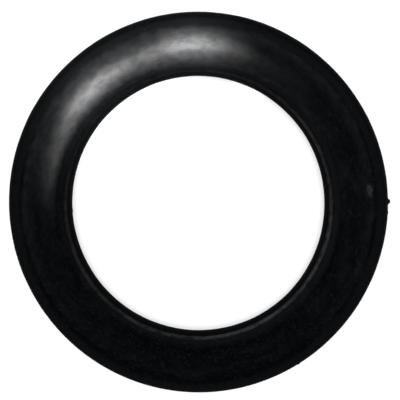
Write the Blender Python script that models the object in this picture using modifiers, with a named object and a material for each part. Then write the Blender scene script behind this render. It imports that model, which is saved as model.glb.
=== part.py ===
"""O-ring: one moulded rubber ring of round section, lying flat with its axis upright.

The origin is the ring's centre on its mid-plane, and +Z runs along its axis.
Run it with: blender --background --python part.py
"""

import math

import bpy

MM = 0.001

# Driving dimensions: the hole that the seal closes on, and the thickness of the cord.
BORE_DIAMETER = 21.59 * MM
SECTION_DIAMETER = 5.33 * MM

# The halves of the mould meet on the mid-plane, and trimming leaves a low ridge
# there, round the bore and round the rim.
RIDGE_HEIGHT = 0.05 * MM
RIDGE_FOOT_WIDTH = 0.18 * MM
RIDGE_CREST_WIDTH = 0.08 * MM

# The round forms as flat facets.
FACETS_ROUND_AXIS = 96
FACETS_PER_QUARTER_SECTION = 10

# Finish: black nitrile rubber, with a soft sheen.
RUBBER_COLOUR = (0.006, 0.006, 0.007, 1.0)
RUBBER_ROUGHNESS = 0.5


def clear_scene():
    """Remove the objects of the startup scene."""
    for obj in list(bpy.data.objects):
        bpy.data.objects.remove(obj, do_unlink=True)


def rubber_material():
    """Black nitrile rubber."""
    material = bpy.data.materials.new("nitrile_rubber")
    material.use_nodes = True
    shader = material.node_tree.nodes["Principled BSDF"]
    shader.inputs["Base Color"].default_value = RUBBER_COLOUR
    shader.inputs["Roughness"].default_value = RUBBER_ROUGHNESS
    shader.inputs["Metallic"].default_value = 0.0
    return material


def quarter_outline():
    """One quarter of the section, as (across, up) from the section's centre.

    It runs from beside the top down to the crest of the ridge. The facets touch the
    true round at their middles, so the topmost one is a flat and the height is exact.
    """
    radius = SECTION_DIAMETER / 2
    facet_angle = math.pi / 2 / FACETS_PER_QUARTER_SECTION
    corner_radius = radius / math.cos(facet_angle / 2)
    foot = RIDGE_FOOT_WIDTH / 2
    outline = []
    for facet in range(FACETS_PER_QUARTER_SECTION):
        angle = math.pi / 2 - facet_angle * (facet + 0.5)
        across = corner_radius * math.cos(angle)
        up = corner_radius * math.sin(angle)
        if up > foot:
            outline.append((across, up))
    outline.append((math.sqrt(radius**2 - foot**2), foot))
    outline.append((radius + RIDGE_HEIGHT, RIDGE_CREST_WIDTH / 2))
    return outline


def section_outline():
    """The whole section, as (distance from the axis, height).

    It runs down the rim side and back up the bore side, so that the turned ring's
    faces point out.
    """
    centre = (BORE_DIAMETER + SECTION_DIAMETER) / 2
    down = quarter_outline()
    up = down[::-1]
    return (
        [(centre + across, height) for across, height in down]
        + [(centre + across, -height) for across, height in up]
        + [(centre - across, -height) for across, height in down]
        + [(centre - across, height) for across, height in up]
    )


def turned_ring(name, outline, material, collection):
    """A ring turned about the Z axis from a closed outline."""
    count = len(outline)
    points = [(distance, 0.0, height) for distance, height in outline]
    edges = [(i, (i + 1) % count) for i in range(count)]
    mesh = bpy.data.meshes.new(name)
    mesh.from_pydata(points, edges, [])
    mesh.materials.append(material)
    ring = bpy.data.objects.new(name, mesh)
    collection.objects.link(ring)
    screw = ring.modifiers.new("turn", "SCREW")
    screw.axis = "Z"
    screw.angle = 2 * math.pi
    screw.screw_offset = 0.0
    screw.steps = FACETS_ROUND_AXIS
    screw.render_steps = FACETS_ROUND_AXIS
    screw.use_smooth_shade = True
    return ring


def main():
    """Build the ring in a collection of its own."""
    clear_scene()
    collection = bpy.data.collections.new("o_ring")
    bpy.context.scene.collection.children.link(collection)
    turned_ring("o_ring", section_outline(), rubber_material(), collection)


main()
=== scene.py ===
"""Looks of a moulded rubber sealing ring, lying on a pale table.

The ring is one closed surface worked out on a grid: its azimuth runs along one
direction and its section angle along the other. Lengths are in metres unless a name
or a comment says millimetres, and angles are in degrees where they are written down.
"""

import logging
import math
from dataclasses import asdict, dataclass
from enum import Enum
from functools import reduce
from typing import Sequence, Union

import bpy
import numpy as np
from bpy.types import Material, Node, Object, World
from bpy.types import NodeSocket as Socket
from bpy.types import NodeTree as Tree
from mathutils import Matrix, Vector


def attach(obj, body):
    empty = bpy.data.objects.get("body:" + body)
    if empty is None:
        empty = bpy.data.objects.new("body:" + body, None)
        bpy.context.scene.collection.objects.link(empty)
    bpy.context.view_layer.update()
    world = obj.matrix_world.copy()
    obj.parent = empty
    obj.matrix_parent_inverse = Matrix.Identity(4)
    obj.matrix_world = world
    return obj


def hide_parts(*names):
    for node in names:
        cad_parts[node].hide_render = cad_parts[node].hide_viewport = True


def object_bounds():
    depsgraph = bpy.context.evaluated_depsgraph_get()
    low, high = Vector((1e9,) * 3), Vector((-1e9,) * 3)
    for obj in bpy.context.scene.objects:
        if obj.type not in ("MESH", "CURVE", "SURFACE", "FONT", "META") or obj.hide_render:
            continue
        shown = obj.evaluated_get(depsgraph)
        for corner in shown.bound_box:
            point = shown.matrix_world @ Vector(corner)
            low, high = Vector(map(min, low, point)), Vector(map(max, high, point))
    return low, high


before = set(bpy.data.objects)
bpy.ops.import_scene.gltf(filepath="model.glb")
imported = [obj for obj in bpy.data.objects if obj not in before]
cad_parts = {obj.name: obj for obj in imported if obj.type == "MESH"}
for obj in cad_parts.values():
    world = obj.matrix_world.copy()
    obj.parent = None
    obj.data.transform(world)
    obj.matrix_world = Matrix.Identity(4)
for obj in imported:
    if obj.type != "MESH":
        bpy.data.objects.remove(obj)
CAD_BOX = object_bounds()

log = logging.getLogger("sealing_ring")

MM = 0.001
MM_PER_METRE = 1000.0
OVERHEAD_HEIGHT = 1000 * MM
NOISE_MEAN = 0.5

Colour = tuple[float, float, float, float]
Input = Union[Socket, float, int, Sequence[float]]

WHITE: Colour = (1.0, 1.0, 1.0, 1.0)
BLACK: Colour = (0.0, 0.0, 0.0, 1.0)


class Sum(Enum):
    """The sums that the shader graphs use."""

    ADD = "ADD"
    SUBTRACT = "SUBTRACT"
    MULTIPLY = "MULTIPLY"
    DIVIDE = "DIVIDE"
    ABSOLUTE = "ABSOLUTE"
    MAXIMUM = "MAXIMUM"
    LESS = "LESS_THAN"
    ROOT = "SQRT"
    SINE = "SINE"
    COSINE = "COSINE"
    ANGLE = "ARCTAN2"


class RingEdge(Enum):
    """The two places where the halves of the mould meet, as the sign of the way out."""

    BORE = -1
    RIM = 1


def socket_name(word: str) -> str:
    """A socket's name from a keyword, which has _ for each space."""
    return word.replace("_", " ").title()


class Graph:
    """Adds nodes to one node tree, so that a shader reads as a list of formulas."""

    def __init__(self, tree: Tree) -> None:
        """Keep the tree that the nodes go into: a material's, a world's or a group's."""
        self.tree = tree

    def node(self, kind: str, **settings: object) -> Node:
        """Add one node.

        Args:
            kind: the node's type, as Blender names it.
            **settings: properties to set on the node.

        Returns:
            The new node.
        """
        made = self.tree.nodes.new(kind)
        for name, value in settings.items():
            setattr(made, name, value)
        return made

    def feed(self, socket: Socket, value: Input) -> None:
        """Link a socket to another one, or set it to a constant.

        Args:
            socket: the input socket.
            value: an output socket, or the constant.
        """
        if isinstance(value, Socket):
            self.tree.links.new(value, socket)
        else:
            socket.default_value = value

    def result(self, kind: str, inputs: dict[int | str, Input], output: int | str = 0,
               **settings: object) -> Socket:
        """Add one node, feed it, and take one of its outputs.

        Args:
            kind: the node's type, as Blender names it.
            inputs: a value for each input, by its number or its name.
            output: the output's number or its name.
            **settings: properties to set on the node.

        Returns:
            The output's socket.
        """
        made = self.node(kind, **settings)
        for key, value in inputs.items():
            self.feed(made.inputs[key], value)
        return made.outputs[output]

    def sum(self, kind: Sum, first: Input, second: Input = 0.0) -> Socket:
        """One sum of two numbers, or of the first alone if it is a sum of one number."""
        return self.result("ShaderNodeMath", {0: first, 1: second}, operation=kind.value)

    def plus(self, *terms: Input) -> Socket:
        """The total of some numbers."""
        return reduce(lambda first, second: self.sum(Sum.ADD, first, second), terms)

    def minus(self, first: Input, second: Input) -> Socket:
        """The first number less the second."""
        return self.sum(Sum.SUBTRACT, first, second)

    def times(self, *factors: Input) -> Socket:
        """The product of some numbers."""
        return reduce(lambda first, second: self.sum(Sum.MULTIPLY, first, second), factors)

    def over(self, first: Input, second: Input) -> Socket:
        """The first number divided by the second."""
        return self.sum(Sum.DIVIDE, first, second)

    def most(self, *values: Input) -> Socket:
        """The greatest of some numbers."""
        return reduce(lambda first, second: self.sum(Sum.MAXIMUM, first, second), values)

    def step(self, value: Input, low: Input, high: Input) -> Socket:
        """A smooth step from 0 to 1 as a value goes from low to high, or down from it if high is lower."""
        inputs = {"Value": value, "From Min": low, "From Max": high}
        return self.result("ShaderNodeMapRange", inputs, interpolation_type="SMOOTHSTEP")

    def scaled(self, vector: Input, factor: Input) -> Socket:
        """A vector times a number."""
        return self.result("ShaderNodeVectorMath", {0: vector, "Scale": factor}, operation="SCALE")

    def joined(self, x: Input, y: Input, z: Input) -> Socket:
        """A vector made of three numbers."""
        return self.result("ShaderNodeCombineXYZ", {0: x, 1: y, 2: z})

    def split(self, vector: Input) -> tuple[Socket, ...]:
        """The sockets of a vector's X, Y and Z."""
        first = self.result("ShaderNodeSeparateXYZ", {0: vector})
        return tuple(first.node.outputs)

    def noise(self, vector: Input, detail: float, roughness: float = 0.5, w: Input | None = None) -> Socket:
        """Smooth noise from 0 to 1, with features about one unit across.

        Args:
            vector: where it is read, in units of a feature.
            detail: how many finer octaves are added.
            roughness: how strong each octave is beside the one before.
            w: a fourth coordinate, for noise that closes round the ring.

        Returns:
            The noise's socket.
        """
        inputs = {"Vector": vector, "Scale": 1.0, "Detail": detail, "Roughness": roughness}
        if w is None:
            return self.result("ShaderNodeTexNoise", inputs, "Fac", noise_dimensions="3D")
        return self.result("ShaderNodeTexNoise", inputs | {"W": w}, "Fac", noise_dimensions="4D")

    def mixed(self, share: Input, first: Input, second: Input) -> Socket:
        """A blend of two colours.

        Args:
            share: how much of the second, from 0 to 1.
            first: the colour at 0.
            second: the colour at 1.

        Returns:
            The blend's socket.
        """
        made = self.node("ShaderNodeMix", data_type="RGBA")
        self.feed(made.inputs["Factor"], share)
        first_colour, second_colour = [socket for socket in made.inputs if socket.type == "RGBA"]
        self.feed(first_colour, first)
        self.feed(second_colour, second)
        return next(socket for socket in made.outputs if socket.type == "RGBA")

    def bumped(self, height: Input, depth: float, normal: Input | None = None) -> Socket:
        """A surface normal with relief in it.

        Args:
            height: the relief, from 0 to 1.
            depth: the relief's height at 1, in metres.
            normal: the normal that it changes, or None for the surface's own.

        Returns:
            The normal's socket.
        """
        inputs = {"Strength": 1.0, "Distance": depth, "Height": height}
        if normal is not None:
            inputs["Normal"] = normal
        return self.result("ShaderNodeBump", inputs, "Normal")

    def placed(self, group: Tree, **inputs: Input) -> Node:
        """Put a shader group into this tree.

        Args:
            group: the group.
            **inputs: values for its sockets.

        Returns:
            The group's node.
        """
        made = self.node("ShaderNodeGroup", node_tree=group)
        for name, value in inputs.items():
            self.feed(made.inputs[socket_name(name)], value)
        return made


def new_group(name: str, outputs: Sequence[str], **inputs: float) -> tuple[Graph, dict, dict]:
    """Start a shader group, which reads a Position in millimetres and some numbers.

    Args:
        name: the group's name.
        outputs: the names of its outputs, all of them numbers.
        **inputs: the default of each number that it reads.

    Returns:
        The graph to fill, its inputs by name and its outputs by name.
    """
    tree = bpy.data.node_groups.new(name, "ShaderNodeTree")
    tree.interface.new_socket(name="Position", in_out="INPUT", socket_type="NodeSocketVector")
    for word, default in inputs.items():
        title = socket_name(word)
        made = tree.interface.new_socket(name=title, in_out="INPUT", socket_type="NodeSocketFloat")
        made.default_value = default
    for output in outputs:
        tree.interface.new_socket(name=output, in_out="OUTPUT", socket_type="NodeSocketFloat")
    graph = Graph(tree)
    start = graph.node("NodeGroupInput")
    end = graph.node("NodeGroupOutput")
    return graph, dict(start.outputs.items()), dict(end.inputs.items())


class SurfaceEffects:
    """The shader groups that the finishes share."""

    def __init__(self) -> None:
        """Build each group once."""
        self.place = self.ring_place()
        self.lines = self.mould_lines()
        self.grain = self.fine_grain()
        self.bloom = self.bloom_patches()
        self.specks = self.stray_specks()
        self.rub = self.rub_and_reflection_mark()
        self.sheen = self.crown_sheen()
        self.band = self.flank_band()

    def ring_place(self) -> Tree:
        """Where a point is on a ring about Z: its distance from the axis, its height and its azimuth.

        Returns:
            The group.
        """
        graph, start, end = new_group("ring_place", ["Distance", "Height", "Cosine", "Sine"])
        x, y, z = graph.split(start["Position"])
        squares = graph.plus(graph.times(x, x), graph.times(y, y))
        least_distance = 0.001
        distance = graph.most(graph.sum(Sum.ROOT, squares), least_distance)
        graph.feed(end["Distance"], distance)
        graph.feed(end["Height"], z)
        graph.feed(end["Cosine"], graph.over(x, distance))
        graph.feed(end["Sine"], graph.over(y, distance))
        return graph.tree

    def ring_noise(self, graph: Graph, position: Input, size: Input, turns: Input, detail: float,
                   roughness: float) -> Socket:
        """Noise in ring coordinates, so that it closes round the ring.

        It is read at the distance from the axis and the height, both over size, and at the
        azimuth's cosine and sine, both times turns.

        Args:
            graph: the group's graph.
            position: the point.
            size: a feature's size across the section.
            turns: the noise's scale along the ring.
            detail: how many finer octaves are added.
            roughness: how strong each octave is beside the one before.

        Returns:
            The noise's socket.
        """
        place = graph.placed(self.place, position=position)
        across = graph.over(place.outputs["Distance"], size)
        up = graph.over(place.outputs["Height"], size)
        third = graph.times(place.outputs["Cosine"], turns)
        fourth = graph.times(place.outputs["Sine"], turns)
        return graph.noise(graph.joined(across, up, third), detail, roughness, fourth)

    def mould_lines(self) -> Tree:
        """Faint lines along the ring, which the turned mould leaves on it.

        They are noise that changes fast across the section and slowly with azimuth.

        Returns:
            The group.
        """
        graph, start, end = new_group("mould_lines", ["Height"], spacing=0.2, turns=3.0)
        lines = self.ring_noise(graph, start["Position"], start["Spacing"], start["Turns"],
                                detail=1.5, roughness=0.5)
        graph.feed(end["Height"], lines)
        return graph.tree

    def fine_grain(self) -> Tree:
        """Even grain, as noise of one size and half of it.

        Returns:
            The group.
        """
        graph, start, end = new_group("fine_grain", ["Height"], size=0.1)
        inverse = graph.over(1.0, start["Size"])
        grain = graph.noise(graph.scaled(start["Position"], inverse), detail=1.0, roughness=0.6)
        graph.feed(end["Height"], grain)
        return graph.tree

    def bloom_patches(self) -> Tree:
        """Soft patches of haze, where the rubber's waxes have come to the surface.

        They are noise in ring coordinates, cut by a smooth step, and Stretch is how many
        times longer a patch is along the ring than across it.

        Returns:
            The group.
        """
        graph, start, end = new_group("bloom_patches", ["Mask"], size=1.0, stretch=3.0, radius=10.0,
                                      clear=0.4, full=0.7)
        length = graph.times(start["Size"], start["Stretch"])
        turns = graph.over(start["Radius"], length)
        patches = self.ring_noise(graph, start["Position"], start["Size"], turns,
                                  detail=3.0, roughness=0.55)
        graph.feed(end["Mask"], graph.step(patches, start["Clear"], start["Full"]))
        return graph.tree

    def stray_specks(self) -> Tree:
        """Sparse round specks, such as dust.

        Space is cut into cells, and a cell holds a speck at its point if the cell's random
        number is under Share. A speck is full out to half of Size from its point, and gone
        at Size.

        Returns:
            The group.
        """
        graph, start, end = new_group("stray_specks", ["Mask"], spacing=0.5, size=0.05, share=0.2)
        cells = graph.node("ShaderNodeTexVoronoi", feature="F1", distance="EUCLIDEAN")
        inverse = graph.over(1.0, start["Spacing"])
        graph.feed(cells.inputs["Vector"], graph.scaled(start["Position"], inverse))
        graph.feed(cells.inputs["Scale"], 1.0)
        away = graph.times(cells.outputs["Distance"], start["Spacing"])
        core = graph.over(start["Size"], 2.0)
        inside = graph.step(away, start["Size"], core)
        chosen = graph.sum(Sum.LESS, graph.split(cells.outputs["Color"])[0], start["Share"])
        graph.feed(end["Mask"], graph.times(inside, chosen))
        return graph.tree

    def rub_and_reflection_mark(self) -> Tree:
        """One lighter mark on the ring, an ellipse with ragged edges, used for a rubbed smudge and for
        streaks of painted reflection.

        Its middle is given by azimuth and by section angle from the top, outwards, both in
        radians. The distance along the ring is the azimuth from the middle times the radius,
        and the distance across it the section angle from the middle times the section
        radius. The mask is a smooth step of the squares of the two distances over Length and
        over Width, added up, with noise for the ragged edge.

        Returns:
            The group.
        """
        noise_per_mm, gone, full = 4.0, 0.95, 0.4
        graph, start, end = new_group("rub_and_reflection_mark", ["Mask"], radius=10.0, section_radius=2.0, azimuth=0.0,
                                      section_angle=0.0, length=1.0, width=0.5)
        place = graph.placed(self.place, position=start["Position"])
        turn = graph.node("ShaderNodeVectorRotate", rotation_type="Z_AXIS")
        graph.feed(turn.inputs["Vector"], start["Position"])
        graph.feed(turn.inputs["Angle"], graph.times(start["Azimuth"], -1.0))
        x, y, _ = graph.split(turn.outputs[0])
        along = graph.times(graph.sum(Sum.ANGLE, y, x), start["Radius"])
        out = graph.minus(place.outputs["Distance"], start["Radius"])
        angle = graph.sum(Sum.ANGLE, out, place.outputs["Height"])
        across = graph.times(graph.minus(angle, start["Section Angle"]), start["Section Radius"])
        long_way = graph.over(along, start["Length"])
        short_way = graph.over(across, start["Width"])
        ragged = graph.noise(graph.scaled(start["Position"], noise_per_mm), detail=2.0)
        reach = graph.plus(graph.times(long_way, long_way), graph.times(short_way, short_way), ragged)
        graph.feed(end["Mask"], graph.step(reach, gone, full))
        return graph.tree

    def crown_sheen(self) -> Tree:
        """How much of the satin skin is left: all of it on the crowns, and none on the flanks.

        It is a smooth step of the height above the parting plane, with ragged edges. The
        polish is uneven: on the side of Azimuth, in radians, the step comes lower by Favour,
        and on the far side higher by as much. It also comes lower towards the bore, by
        Inwards for each millimetre inside Radius, and higher towards the rim.

        Returns:
            The group.
        """
        noise_per_mm = 1.2
        graph, start, end = new_group("crown_sheen", ["Mask"], gone_below=1.0, full_above=2.0,
                                      raggedness=0.2, azimuth=0.0, favour=0.0, radius=10.0, inwards=0.0)
        place = graph.placed(self.place, position=start["Position"])
        height = graph.sum(Sum.ABSOLUTE, place.outputs["Height"])
        noise = graph.noise(graph.scaled(start["Position"], noise_per_mm), detail=3.0)
        ragged = graph.times(graph.minus(noise, NOISE_MEAN), start["Raggedness"])
        favoured = graph.times(self.toward(graph, place, start["Azimuth"]), start["Favour"])
        out = graph.minus(place.outputs["Distance"], start["Radius"])
        reach = graph.minus(graph.plus(height, ragged, favoured), graph.times(out, start["Inwards"]))
        graph.feed(end["Mask"], graph.step(reach, start["Gone Below"], start["Full Above"]))
        return graph.tree

    def toward(self, graph: Graph, place: Node, azimuth: Input) -> Socket:
        """How far a point lies toward an azimuth: 1 on that side of the ring and -1 on the far side.

        It is the cosine of the point's azimuth less the given one.

        Args:
            graph: the group's graph.
            place: its ring_place node.
            azimuth: the azimuth, in radians.

        Returns:
            The cosine's socket.
        """
        cosines = graph.times(place.outputs["Cosine"], graph.sum(Sum.COSINE, azimuth))
        sines = graph.times(place.outputs["Sine"], graph.sum(Sum.SINE, azimuth))
        return graph.plus(cosines, sines)

    def flank_band(self) -> Tree:
        """A band along one flank of the ring, above and below the parting plane alike.

        It lies between two heights, and its ends are smooth steps Softness wide. Where Outer
        is 0 it lies on the inner flank, at a distance from the axis under Radius, and where
        Outer is 1 on the outer one. It is full on the side of Azimuth, in radians, and weaker
        by Lean on the far side.

        Returns:
            The group.
        """
        graph, start, end = new_group("flank_band", ["Mask"], radius=10.0, low=1.0, high=2.0, softness=0.3,
                                      azimuth=0.0, lean=0.0, outer=0.0)
        place = graph.placed(self.place, position=start["Position"])
        height = graph.sum(Sum.ABSOLUTE, place.outputs["Height"])
        above = graph.step(height, graph.minus(start["Low"], start["Softness"]), start["Low"])
        below = graph.step(height, graph.plus(start["High"], start["Softness"]), start["High"])
        inside = graph.sum(Sum.LESS, place.outputs["Distance"], start["Radius"])
        chosen = graph.sum(Sum.ABSOLUTE, graph.minus(inside, start["Outer"]))
        far_share = graph.over(graph.minus(1.0, self.toward(graph, place, start["Azimuth"])), 2.0)
        kept = graph.minus(1.0, graph.times(far_share, start["Lean"]))
        graph.feed(end["Mask"], graph.times(above, below, chosen, kept))
        return graph.tree


class Dressing:
    """One material under way, with its shader and the coordinates that its patterns read."""

    def __init__(self, name: str, effects: SurfaceEffects, radius: float = 0.0) -> None:
        """Start the material.

        Args:
            name: the material's name.
            effects: the shared shader groups.
            radius: the mean radius of the ring that it is for, in metres.
        """
        self.material = bpy.data.materials.new(name)
        self.material.use_nodes = True
        self.shader = self.material.node_tree.nodes["Principled BSDF"]
        self.graph = Graph(self.material.node_tree)
        self.effects = effects
        self.radius_mm = radius * MM_PER_METRE
        own = self.graph.node("ShaderNodeTexCoord")
        self.position = self.graph.scaled(own.outputs["Object"], MM_PER_METRE)

    def pattern(self, group: Tree, output: int | str = 0, **inputs: Input) -> Socket:
        """One output of a shader group, put in with the position and with values for its other sockets."""
        return self.graph.placed(group, position=self.position, **inputs).outputs[output]

    def feed(self, inputs: dict[str, Input]) -> None:
        """Link the shader's sockets or set them to constants, by their names."""
        for name, value in inputs.items():
            self.graph.feed(self.shader.inputs[name], value)


@dataclass(frozen=True)
class Patches:
    """Soft patches of haze or grit.

    Their size is across the ring, in millimetres, and their stretch how many times longer
    they are along it. There is none where the noise is under clear, and all above full.
    """

    size: float
    stretch: float
    clear: float
    full: float

    def on(self, work: Dressing) -> Socket:
        """The patches' mask on a material under way."""
        return work.pattern(work.effects.bloom, radius=work.radius_mm, **asdict(self))


@dataclass(frozen=True)
class Specks:
    """Sparse specks: their spacing and size in millimetres, and the share of places that hold one."""

    spacing: float
    size: float
    share: float

    def on(self, work: Dressing) -> Socket:
        """The specks' mask on a material under way."""
        return work.pattern(work.effects.specks, **asdict(self))


@dataclass(frozen=True)
class RubAndReflectionMark:
    """A mark placed by azimuth and by section angle from the top, outwards, for a rubbed smudge and for
    streaks of painted reflection.

    Its length and width are in millimetres.
    """

    azimuth: float
    section_angle: float
    length: float
    width: float

    def on(self, work: Dressing, section_radius: float) -> Socket:
        """The mark's mask on a material under way, of a ring with a section radius in metres."""
        return work.pattern(work.effects.rub, radius=work.radius_mm,
                            section_radius=section_radius * MM_PER_METRE,
                            azimuth=math.radians(self.azimuth),
                            section_angle=math.radians(self.section_angle),
                            length=self.length, width=self.width)


@dataclass(frozen=True)
class FlankBand:
    """A band of one flank, by its heights in millimetres and the side of the ring where it is strongest."""

    low: float
    high: float
    softness: float
    azimuth: float
    lean: float
    strength: float
    outer: bool = False

    def on(self, work: Dressing) -> Socket:
        """The band's mask on a material under way, times its strength."""
        band = work.pattern(work.effects.band, radius=work.radius_mm, low=self.low, high=self.high,
                            softness=self.softness, azimuth=math.radians(self.azimuth), lean=self.lean,
                            outer=float(self.outer))
        return work.graph.times(band, self.strength)


@dataclass(frozen=True)
class CrownSheen:
    """The satin skin of the crowns, by its heights in millimetres and the side where it reaches lowest."""

    gone_below: float = 2.18
    full_above: float = 2.64
    raggedness: float = 0.30
    azimuth: float = 95.0
    favour: float = 0.22
    inwards: float = 0.025

    def on(self, work: Dressing) -> Socket:
        """The skin's mask on a material under way."""
        values = asdict(self) | {"azimuth": math.radians(self.azimuth)}
        return work.pattern(work.effects.sheen, radius=work.radius_mm, **values)


@dataclass(frozen=True)
class FlankSatin:
    """The thin satin of the flanks, by its heights in millimetres.

    The flanks' haze lies over it, so it shows only where it faces the eye: at a shallow
    angle the haze, which the eye looks through at a slant, hides it.
    """

    full_below: float = 1.70
    gone_above: float = 2.30
    full_facing: float = 0.06
    gone_facing: float = 0.36
    weight: float = 0.30

    def on(self, work: Dressing) -> Socket:
        """How much of the satin shows: a step of the height times a step of Layer Weight's Facing.

        Args:
            work: a material under way.

        Returns:
            The product's socket.
        """
        height = work.graph.sum(Sum.ABSOLUTE, work.pattern(work.effects.place, "Height"))
        flank = work.graph.step(height, self.gone_above, self.full_below)
        away = work.graph.node("ShaderNodeLayerWeight").outputs["Facing"]
        faced = work.graph.step(away, self.gone_facing, self.full_facing)
        return work.graph.times(flank, faced, self.weight)


@dataclass(frozen=True)
class MouldedSkin:
    """Black nitrile rubber as the mould leaves it: satin on the crowns, matt on the flanks.

    Heights and lengths are in millimetres, and depths of relief in metres. The mould's core
    has polished a band of the inner flank a little. Two bands of the flanks are painted
    lighter, the more on one side of the ring: painted light.
    """

    deep: Colour = (0.0014, 0.0017, 0.0022, 1.0)
    hazed: Colour = (0.0038, 0.0042, 0.0050, 1.0)
    # The grit's colour, which also paints light onto the flanks in two bands.
    gritty: Colour = (0.0090, 0.0095, 0.0102, 1.0)
    rubbed: Colour = (0.0230, 0.0248, 0.0300, 1.0)
    dust: Colour = (0.0500, 0.0480, 0.0450, 1.0)
    roughness: float = 0.68
    hazed_roughness: float = 0.80
    dust_roughness: float = 0.95
    specular: float = 0.007
    satin_roughness: float = 0.52
    satin_ior: float = 1.6
    crown: CrownSheen = CrownSheen()
    flank: FlankSatin = FlankSatin()
    polish: FlankBand = FlankBand(
        low=1.40, high=1.50, softness=0.28, azimuth=300.0, lean=0.85, strength=0.62)
    crown_wear: float = 0.36
    polish_wear: float = 0.55
    # Painted light: two bands that paint the flanks lighter, the more toward their azimuth.
    painted_flank_light: tuple[FlankBand, ...] = (
        FlankBand(low=1.72, high=2.00, softness=0.28, azimuth=75.0, lean=0.35, strength=0.46, outer=True),
        FlankBand(low=1.85, high=2.10, softness=0.20, azimuth=30.0, lean=1.0, strength=0.50),
    )
    haze: Patches = Patches(size=0.9, stretch=2.6, clear=0.44, full=0.72)
    smudges: Patches = Patches(size=0.46, stretch=1.8, clear=0.40, full=0.66)
    grit: Patches = Patches(size=0.20, stretch=1.3, clear=0.50, full=0.68)
    grit_strength: float = 0.55
    specks: Specks = Specks(spacing=0.9, size=0.055, share=0.16)
    # The first mark is a rubbed smudge on the crown. The two long ones paint a lighter streak on the inner
    # flank near the bore: painted reflection.
    marks: tuple[RubAndReflectionMark, ...] = (
        RubAndReflectionMark(azimuth=5.3, section_angle=19.0, length=0.90, width=0.62),
        RubAndReflectionMark(azimuth=298.0, section_angle=-58.0, length=10.5, width=0.44),
        RubAndReflectionMark(azimuth=345.0, section_angle=-55.0, length=7.5, width=0.36),
    )
    wave_size: float = 0.9
    wave_depth: float = 0.000022
    peel_size: float = 0.34
    peel_depth: float = 0.000019
    line_spacing: float = 0.22
    line_turns: float = 5.0
    line_depth: float = 0.000008
    grain_size: float = 0.07
    grain_depth: float = 0.0000015

    def material(self, effects: SurfaceEffects, radius: float, section_radius: float) -> Material:
        """Build the material.

        Args:
            effects: the shared shader groups.
            radius: the ring's mean radius, in metres.
            section_radius: the section's radius, in metres.

        Returns:
            The material.
        """
        work = Dressing("moulded_nitrile", effects, radius)
        graph = work.graph
        haze = self.haze.on(work)
        specks = self.specks.on(work)
        colour = graph.mixed(haze, self.deep, self.hazed)
        colour = graph.mixed(graph.times(self.grit.on(work), self.grit_strength), colour, self.gritty)
        # Painted light on the flanks: each band mixes in the lighter colour, the more on one side.
        for band in self.painted_flank_light:
            colour = graph.mixed(band.on(work), colour, self.gritty)
        # Painted reflection: the long marks paint a lighter streak near the bore. The first mark is a real
        # smudge.
        rubbed = graph.most(*[mark.on(work, section_radius) for mark in self.marks])
        colour = graph.mixed(rubbed, colour, self.rubbed)
        rough = graph.plus(graph.times(haze, self.hazed_roughness - self.roughness), self.roughness)
        work.feed({
            "Base Color": graph.mixed(specks, colour, self.dust),
            "Roughness": graph.most(rough, graph.times(specks, self.dust_roughness)),
            "Metallic": 0.0,
            "Specular IOR Level": self.specular,
            "Coat Weight": self.satin(work, specks),
            "Coat Roughness": self.satin_roughness,
            "Coat IOR": self.satin_ior,
            "Normal": self.relief(work),
        })
        return work.material

    def satin(self, work: Dressing, specks: Input) -> Socket:
        """The most of three: the crowns' satin skin, the inner polish and the flanks' thin satin.

        All are thinner in smudges, the polish the most, and there is none under dust.

        Args:
            work: the material under way.
            specks: the mask of dust.

        Returns:
            The weight's socket.
        """
        graph = work.graph
        smudges = self.smudges.on(work)
        polish_kept = graph.minus(1.0, graph.times(smudges, self.polish_wear))
        polish = graph.times(self.polish.on(work), polish_kept)
        kept = graph.minus(1.0, graph.times(smudges, self.crown_wear))
        clean = graph.minus(1.0, specks)
        return graph.times(graph.most(self.crown.on(work), polish, self.flank.on(work)), kept, clean)

    def relief(self, work: Dressing) -> Socket:
        """Slow waves, orange peel, mould lines and grain, one Bump after another.

        Args:
            work: the material under way.

        Returns:
            The normal's socket.
        """
        effects = work.effects
        lines = work.pattern(effects.lines, spacing=self.line_spacing, turns=self.line_turns)
        layers = (
            (work.pattern(effects.grain, size=self.wave_size), self.wave_depth),
            (work.pattern(effects.grain, size=self.peel_size), self.peel_depth),
            (lines, self.line_depth),
            (work.pattern(effects.grain, size=self.grain_size), self.grain_depth),
        )
        normal: Input | None = None
        for height, depth in layers:
            normal = work.graph.bumped(height, depth, normal)
        return normal


@dataclass(frozen=True)
class TrimmedFlash:
    """The low ridge where the mould's halves met, torn and tumbled back: duller and a little greyer.

    Sizes are in millimetres, and the depth of relief in metres.
    """

    torn: Colour = (0.0110, 0.0112, 0.0118, 1.0)
    shaded: Colour = (0.0045, 0.0048, 0.0054, 1.0)
    roughness: float = 0.86
    roughness_swing: float = 0.12
    specular: float = 0.12
    tears: Patches = Patches(size=0.12, stretch=3.0, clear=0.35, full=0.65)
    grain_size: float = 0.12
    grain_depth: float = 0.000010

    def material(self, effects: SurfaceEffects, radius: float) -> Material:
        """Build the material.

        Args:
            effects: the shared shader groups.
            radius: the ring's mean radius, in metres.

        Returns:
            The material.
        """
        work = Dressing("trimmed_flash", effects, radius)
        grain = work.pattern(effects.grain, size=self.grain_size)
        swing = work.graph.times(work.graph.minus(grain, NOISE_MEAN), self.roughness_swing)
        work.feed({
            "Base Color": work.graph.mixed(self.tears.on(work), self.shaded, self.torn),
            "Roughness": work.graph.plus(swing, self.roughness),
            "Metallic": 0.0,
            "Specular IOR Level": self.specular,
            "Normal": work.graph.bumped(grain, self.grain_depth),
        })
        return work.material


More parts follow.
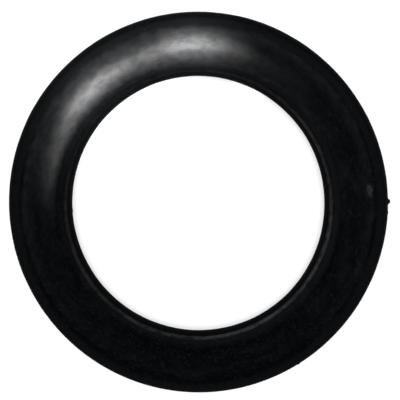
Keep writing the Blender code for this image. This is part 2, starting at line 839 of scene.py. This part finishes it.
@dataclass(frozen=True)
class MattCard:
    """The table's pale card.

    Its own light for the camera and for mirror images takes it to white, and the overhead
    lamp's light on it keeps the ring's shadow. The lamp stands nearly over the ring, and its
    light falls off as the fourth power of the cosine of the angle at the lamp. The card's
    own light rises as much with the distance from the ring, so the card is white to its edge.
    """

    colour: Colour = (0.38, 0.38, 0.38, 1.0)
    grain_colour: Colour = (0.36, 0.36, 0.36, 1.0)
    grain_size_mm: float = 0.4
    roughness: float = 0.95
    own_light: float = 0.70

    def material(self, effects: SurfaceEffects) -> Material:
        """Build the material.

        Args:
            effects: the shared shader groups.

        Returns:
            The material.
        """
        work = Dressing("matt_card", effects)
        graph = work.graph
        grain = work.pattern(effects.grain, size=self.grain_size_mm)
        rays = graph.node("ShaderNodeLightPath").outputs
        seen = graph.most(rays["Is Camera Ray"], rays["Is Glossy Ray"], rays["Is Transmission Ray"])
        away = work.pattern(effects.place, "Distance")
        slope = graph.over(away, OVERHEAD_HEIGHT * MM_PER_METRE)
        spread = graph.plus(graph.times(slope, slope), 1.0)
        lamp_share = graph.over(1.0 - self.own_light, graph.times(spread, spread))
        own = graph.times(seen, graph.minus(1.0, lamp_share))
        work.feed({
            "Base Color": graph.mixed(grain, self.colour, self.grain_colour),
            "Roughness": self.roughness,
            "Specular IOR Level": 0.0,
            "Emission Color": graph.mixed(own, BLACK, WHITE),
            "Emission Strength": 1.0,
        })
        return work.material


def smooth_step(values: np.ndarray) -> np.ndarray:
    """A smooth step of each value x: 3x squared less 2x cubed, with x held between 0 and 1."""
    x = np.clip(values, 0.0, 1.0)
    return x * x * (3.0 - 2.0 * x)


@dataclass(frozen=True)
class Nib:
    """A tag of rubber that trimming left on the ridge, a blunt bell by its height and width."""

    edge: RingEdge
    azimuth: float
    height: float
    width: float


@dataclass
class SealingRing:
    """The moulded ring, one closed surface round the Z axis.

    A point is found from its azimuth and from its section angle, which is 0 at the top, a
    quarter turn at the rim and a quarter turn back at the bore.
    """

    name: str = "moulded_ring"
    bore_diameter: float = 21.59 * MM
    section_diameter: float = 5.33 * MM
    ridge_height: float = 0.05 * MM
    ridge_foot_width: float = 0.18 * MM
    ridge_crest_width: float = 0.08 * MM
    ridge_least_share: float = 0.35
    mould_mismatch: tuple[float, float] = (0.012 * MM, -0.008 * MM)
    mismatch_blend: float = 0.05 * MM
    out_of_round: float = 0.063 * MM
    long_way_azimuth: float = 99.0
    steps_along: int = 1080
    steps_around: int = 88
    crowding_at_ridge: float = 0.88
    flash_seed: int = 11
    nibs: tuple[Nib, ...] = (
        Nib(RingEdge.RIM, azimuth=0.8, height=0.19 * MM, width=0.40 * MM),
        Nib(RingEdge.RIM, azimuth=-2.6, height=0.03 * MM, width=0.30 * MM),
        Nib(RingEdge.RIM, azimuth=-58.0, height=0.04 * MM, width=0.30 * MM),
        Nib(RingEdge.BORE, azimuth=183.0, height=0.03 * MM, width=0.25 * MM),
    )

    @property
    def radius(self) -> float:
        """The radius of the circle through the section's centres."""
        return (self.bore_diameter + self.section_diameter) / 2

    @property
    def section_radius(self) -> float:
        """The section's radius."""
        return self.section_diameter / 2

    def azimuths(self) -> np.ndarray:
        """Even azimuths all the way round, in radians."""
        return np.arange(self.steps_along) * (2 * np.pi / self.steps_along)

    def section_angles(self) -> np.ndarray:
        """Section angles all the way round, in radians, crowded together at the two ridges.

        An even angle s becomes s plus half the crowding times the sine of 2s, whose slope
        is 1 less the crowding at the ridges and 1 plus the crowding at the crowns.

        Returns:
            The angles.
        """
        even = np.arange(self.steps_around) * (2 * np.pi / self.steps_around)
        return even + self.crowding_at_ridge / 2 * np.sin(2 * even)

    def flash_share(self, azimuths: np.ndarray, edge: RingEdge) -> np.ndarray:
        """How much of the ridge's height is left at each azimuth, from the least share to 1.

        It is a sum of cosines whose number of turns goes from slow to fast, each with a
        random phase and a size that falls as the root of its turns.

        Args:
            azimuths: the azimuths, in radians.
            edge: the bore or the rim.

        Returns:
            The share at each azimuth.
        """
        random = np.random.default_rng(self.flash_seed + edge.value)
        turns = np.array([3, 5, 9, 14, 23, 37, 58, 91, 140, 210, 300])
        phases = random.uniform(0, 2 * np.pi, len(turns))
        waves = np.cos(azimuths[:, None] * turns + phases) / np.sqrt(turns)
        total = waves.sum(axis=1)
        total = (total - total.min()) / (total.max() - total.min())
        return self.ridge_least_share + (1 - self.ridge_least_share) * total

    def ridge_reach(self, azimuths: np.ndarray, edge: RingEdge) -> np.ndarray:
        """How far the ridge's crest stands out of the round at each azimuth, with its nibs.

        Each nib adds its height times a blunt bell, e to the power of minus the fourth power
        of the distance along the ring over half the nib's width.

        Args:
            azimuths: the azimuths, in radians.
            edge: the bore or the rim.

        Returns:
            The reach at each azimuth.
        """
        reach = self.ridge_height * self.flash_share(azimuths, edge)
        edge_radius = self.radius + edge.value * self.section_radius
        for nib in self.nibs:
            if nib.edge is edge:
                turn = azimuths - math.radians(nib.azimuth)
                away = np.arctan2(np.sin(turn), np.cos(turn)) * edge_radius
                reach = reach + nib.height * np.exp(-((2 * away / nib.width) ** 4))
        return reach

    def vertices(self) -> np.ndarray:
        """Every vertex, as a grid of azimuth by section angle.

        The round is centre plus section radius times (sine, cosine) of the section angle.
        A ridge pushes it out by its reach times a smooth step of the height, from the
        ridge's foot to its crest. Each half is shifted sideways by half the mismatch, the
        upper one the opposite way to the lower one.

        The ring is soft, so it doesn't lie quite round: its centre line is out_of_round
        further out along long_way_azimuth, and as much further in across it.

        Returns:
            An array of steps_along by steps_around by 3.
        """
        azimuth = self.azimuths()
        section = self.section_angles()
        out = self.section_radius * np.sin(section)
        up = self.section_radius * np.cos(section)
        flank = (self.ridge_foot_width - self.ridge_crest_width) / 2
        rise = smooth_step((self.ridge_foot_width / 2 - np.abs(up)) / flank)
        at_rim = self.ridge_reach(azimuth, RingEdge.RIM)[:, None] * np.where(out > 0, rise, 0.0)
        at_bore = self.ridge_reach(azimuth, RingEdge.BORE)[:, None] * np.where(out < 0, rise, 0.0)
        oval = self.out_of_round * np.cos(2 * (azimuth - math.radians(self.long_way_azimuth)))
        distance = self.radius + oval[:, None] + out + at_rim - at_bore
        lower = smooth_step(0.5 - up / self.mismatch_blend)
        x = distance * np.cos(azimuth)[:, None] + self.mould_mismatch[0] * (lower - 0.5)
        y = distance * np.sin(azimuth)[:, None] + self.mould_mismatch[1] * (lower - 0.5)
        z = np.broadcast_to(up, x.shape)
        return np.stack([x, y, z], axis=-1)

    def faces(self) -> np.ndarray:
        """The corners of every face, as an array of faces by 4, in the order that turns them outwards."""
        steps = np.arange(self.steps_along), np.arange(self.steps_around)
        along, around = np.meshgrid(*steps, indexing="ij")
        next_along = (along + 1) % self.steps_along
        next_around = (around + 1) % self.steps_around
        corners = [
            along * self.steps_around + around,
            along * self.steps_around + next_around,
            next_along * self.steps_around + next_around,
            next_along * self.steps_around + around,
        ]
        return np.stack(corners, axis=-1).reshape(-1, 4)

    def build(self) -> Object:
        """Make the ring's object, with its ridge faces in the second material slot.

        Returns:
            The object.
        """
        points = self.vertices()
        faces = self.faces()
        mesh = bpy.data.meshes.new(self.name)
        mesh.vertices.add(points.size // 3)
        mesh.vertices.foreach_set("co", points.astype(np.float32).ravel())
        mesh.loops.add(faces.size)
        mesh.loops.foreach_set("vertex_index", faces.astype(np.int32).ravel())
        mesh.polygons.add(len(faces))
        mesh.polygons.foreach_set("loop_start", np.arange(0, faces.size, 4, dtype=np.int32))
        mesh.update(calc_edges=True)
        heights = points.reshape(-1, 3)[faces, 2].mean(axis=1)
        on_ridge = np.abs(heights) < self.ridge_foot_width / 2
        mesh.polygons.foreach_set("material_index", on_ridge.astype(np.int32))
        mesh.shade_smooth()
        mesh.validate()
        ring = bpy.data.objects.new(self.name, mesh)
        bpy.context.scene.collection.objects.link(ring)
        return ring

    def dress(self, ring: Object, skin: MouldedSkin, flash: TrimmedFlash,
              effects: SurfaceEffects) -> None:
        """Give the ring its two finishes, the skin first and then the trimmed ridge's."""
        ring.data.materials.append(skin.material(effects, self.radius, self.section_radius))
        ring.data.materials.append(flash.material(effects, self.radius))


@dataclass
class Table:
    """The floor under the ring and the pale surroundings.

    The surroundings are white up to a little above the horizon and dark overhead, as a
    studio is whose ceiling is flagged off from a shiny black object.
    """

    side: float = 3.0
    cells: int = 8
    white_below: float = 7.6
    dark_above: float = 12.0
    overhead: Colour = (0.012, 0.0125, 0.0135, 1.0)

    def build_floor(self, level: float, card: MattCard, effects: SurfaceEffects) -> Object:
        """Make the floor, a square grid.

        Args:
            level: its height, which is the ring's lowest.
            card: its finish.
            effects: the shared shader groups.

        Returns:
            The floor's object.
        """
        cells = self.cells
        line = np.linspace(-self.side / 2, self.side / 2, cells + 1)
        x, y = np.meshgrid(line, line, indexing="ij")
        points = np.stack([x, y, np.full_like(x, level)], axis=-1).reshape(-1, 3)
        row, column = np.meshgrid(np.arange(cells), np.arange(cells), indexing="ij")
        first = row * (cells + 1) + column
        faces = np.stack([first, first + cells + 1, first + cells + 2, first + 1], axis=-1).reshape(-1, 4)
        mesh = bpy.data.meshes.new("table_card")
        mesh.from_pydata(points.tolist(), [], faces.tolist())
        mesh.materials.append(card.material(effects))
        floor = bpy.data.objects.new("table_card", mesh)
        bpy.context.scene.collection.objects.link(floor)
        return floor

    def build_surroundings(self) -> World:
        """Make the world: a smooth step of the height of the direction, from white to dark.

        Returns:
            The world.
        """
        world = bpy.data.worlds.new("pale_studio")
        world.use_nodes = True
        bpy.context.scene.world = world
        graph = Graph(world.node_tree)
        background = world.node_tree.nodes["Background"]
        own = graph.node("ShaderNodeTexCoord")
        rise = graph.split(own.outputs["Generated"])[2]
        low, high = math.sin(math.radians(self.white_below)), math.sin(math.radians(self.dark_above))
        colour = graph.mixed(graph.step(rise, low, high), WHITE, self.overhead)
        graph.feed(background.inputs["Color"], colour)
        background.inputs["Strength"].default_value = 1.0
        return world


@dataclass(frozen=True)
class SoftLamp:
    """A square soft lamp, placed and aimed in cylindrical coordinates about the ring's axis.

    The two default heights suit a small lamp that is aimed at the crown.
    """

    name: str
    azimuth: float
    distance: float
    aim_azimuth: float
    aim_distance: float
    side: float
    spread: float
    power: float
    height: float = 27.0 * MM
    aim_height: float = 2.6 * MM
    in_reflections: bool = True

    @staticmethod
    def place(azimuth: float, distance: float, height: float) -> Vector:
        """A point from its azimuth in degrees, its distance from the axis and its height."""
        turn = math.radians(azimuth)
        return Vector((distance * math.cos(turn), distance * math.sin(turn), height))

    def build(self) -> Object:
        """Make the lamp, unseen by the camera.

        Returns:
            The lamp's object.
        """
        light = bpy.data.lights.new(self.name, "AREA")
        light.shape = "SQUARE"
        light.size = self.side
        light.spread = math.radians(self.spread)
        light.energy = self.power
        lamp = bpy.data.objects.new(self.name, light)
        bpy.context.scene.collection.objects.link(lamp)
        here = self.place(self.azimuth, self.distance, self.height)
        there = self.place(self.aim_azimuth, self.aim_distance, self.aim_height)
        turn = (there - here).to_track_quat("-Z", "Y").to_matrix().to_4x4()
        lamp.matrix_world = Matrix.Translation(here) @ turn
        lamp.visible_camera = False
        lamp.visible_glossy = self.in_reflections
        return lamp


@dataclass
class Studio:
    """A wide lamp for the level, and small ones for the highlights and the glow between them.

    The wide one stands the way that the photograph's camera looks from, so that the ring's
    shadow in the hole is equally wide all round. It shows in no reflection.
    """

    lamps: tuple[SoftLamp, ...] = (
        SoftLamp("overhead", azimuth=86.3, distance=81 * MM, height=OVERHEAD_HEIGHT, aim_azimuth=0.0,
                 aim_distance=0.0, aim_height=0.0, side=200 * MM, spread=180.0, power=8.9,
                 in_reflections=False),
        SoftLamp("top_highlight", azimuth=125.7, distance=20.08 * MM, aim_azimuth=89.0,
                 aim_distance=13.1 * MM, side=3.0 * MM, spread=13.0, power=0.000172),
        SoftLamp("top_counter", azimuth=45.1, distance=15.69 * MM, aim_azimuth=95.0,
                 aim_distance=13.1 * MM, side=3.0 * MM, spread=10.0, power=0.000084),
        SoftLamp("left_highlight", azimuth=136.4, distance=9.1 * MM, aim_azimuth=132.5,
                 aim_distance=13.2 * MM, side=3.1 * MM, spread=17.6, power=0.000124),
        SoftLamp("bridge", azimuth=52.9, distance=12.8 * MM, aim_azimuth=126.5,
                 aim_distance=18.7 * MM, side=6.0 * MM, spread=49.3, power=0.00245),
        SoftLamp("glow", azimuth=98.0, distance=9.1 * MM, aim_azimuth=98.0,
                 aim_distance=13.1 * MM, side=7.0 * MM, spread=50.0, power=0.000090),
    )

    def build(self) -> list[Object]:
        """Make every lamp."""
        return [lamp.build() for lamp in self.lamps]


@dataclass
class PhotoCamera:
    """The camera: nearly straight down on the ring, through a long lens.

    The leans, the lens and the pixel of the ring's centre are fitted to the photograph's two
    outlines, for a distance and an out-of-round lie that are chosen. More lean with
    more of that lie fits about as well. The sine of a lean is the slope of the camera's back
    axis towards +X or +Y, and the lens and the sensor are in millimetres.
    """

    frame_side: int = 400
    centre_pixel: tuple[float, float] = (197.85, 203.4)
    distance: float = 130 * MM
    lean_to_x: float = 0.3
    lean_to_y: float = 4.65
    lens: float = 137.74
    sensor: float = 36.0
    nearest_seen: float = 1 * MM
    farthest_seen: float = 10.0

    def build(self) -> Object:
        """Make the camera and put it in use.

        It slides sideways and up by the ring centre's offset from the frame's middle, so
        that no lens shift is needed.

        Returns:
            The camera's object.
        """
        slopes = [math.sin(math.radians(lean)) for lean in (self.lean_to_x, self.lean_to_y)]
        back = Vector((*slopes, 1.0)).normalized()
        right = Vector((0.0, 1.0, 0.0)).cross(back).normalized()
        up = back.cross(right)
        middle = (self.frame_side - 1) / 2
        pixel = self.distance * self.sensor / (self.lens * self.frame_side)
        aside = (middle - self.centre_pixel[0]) * pixel
        above = (self.centre_pixel[1] - middle) * pixel
        here = back * self.distance + right * aside + up * above
        data = bpy.data.cameras.new("camera")
        data.sensor_width = self.sensor
        data.lens = self.lens
        data.clip_start = self.nearest_seen
        data.clip_end = self.farthest_seen
        camera = bpy.data.objects.new("camera", data)
        bpy.context.scene.collection.objects.link(camera)
        turn = Matrix((right, up, back)).transposed().to_4x4()
        camera.matrix_world = Matrix.Translation(here) @ turn
        bpy.context.scene.camera = camera
        return camera


def report(piece: Object) -> None:
    """Say what was built.

    Args:
        piece: a finished mesh object.
    """
    size = [round(side * MM_PER_METRE, 2) for side in piece.dimensions]
    mesh = piece.data
    log.info("%s: %d vertices, %d faces, %s mm", piece.name, len(mesh.vertices), len(mesh.polygons), size)


def main() -> None:
    """Build the ring, the table, the lamps and the camera, in that order."""
    logging.basicConfig(level=logging.INFO, format="%(name)s: %(message)s")
    bpy.context.scene.view_settings.view_transform = "Standard"
    effects = SurfaceEffects()

    maker = SealingRing()
    ring = maker.build()
    maker.dress(ring, MouldedSkin(), TrimmedFlash(), effects)
    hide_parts("o_ring")
    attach(ring, "root")
    report(ring)

    table = Table()
    report(table.build_floor(CAD_BOX[0].z, MattCard(), effects))
    table.build_surroundings()
    for lamp in Studio().build():
        log.info("lamp %s at %s mm", lamp.name, [round(c * MM_PER_METRE, 1) for c in lamp.location])
    camera = PhotoCamera().build()
    log.info("camera at %s mm", [round(c * MM_PER_METRE, 1) for c in camera.matrix_world.translation])


if __name__ == "__main__":
    main()
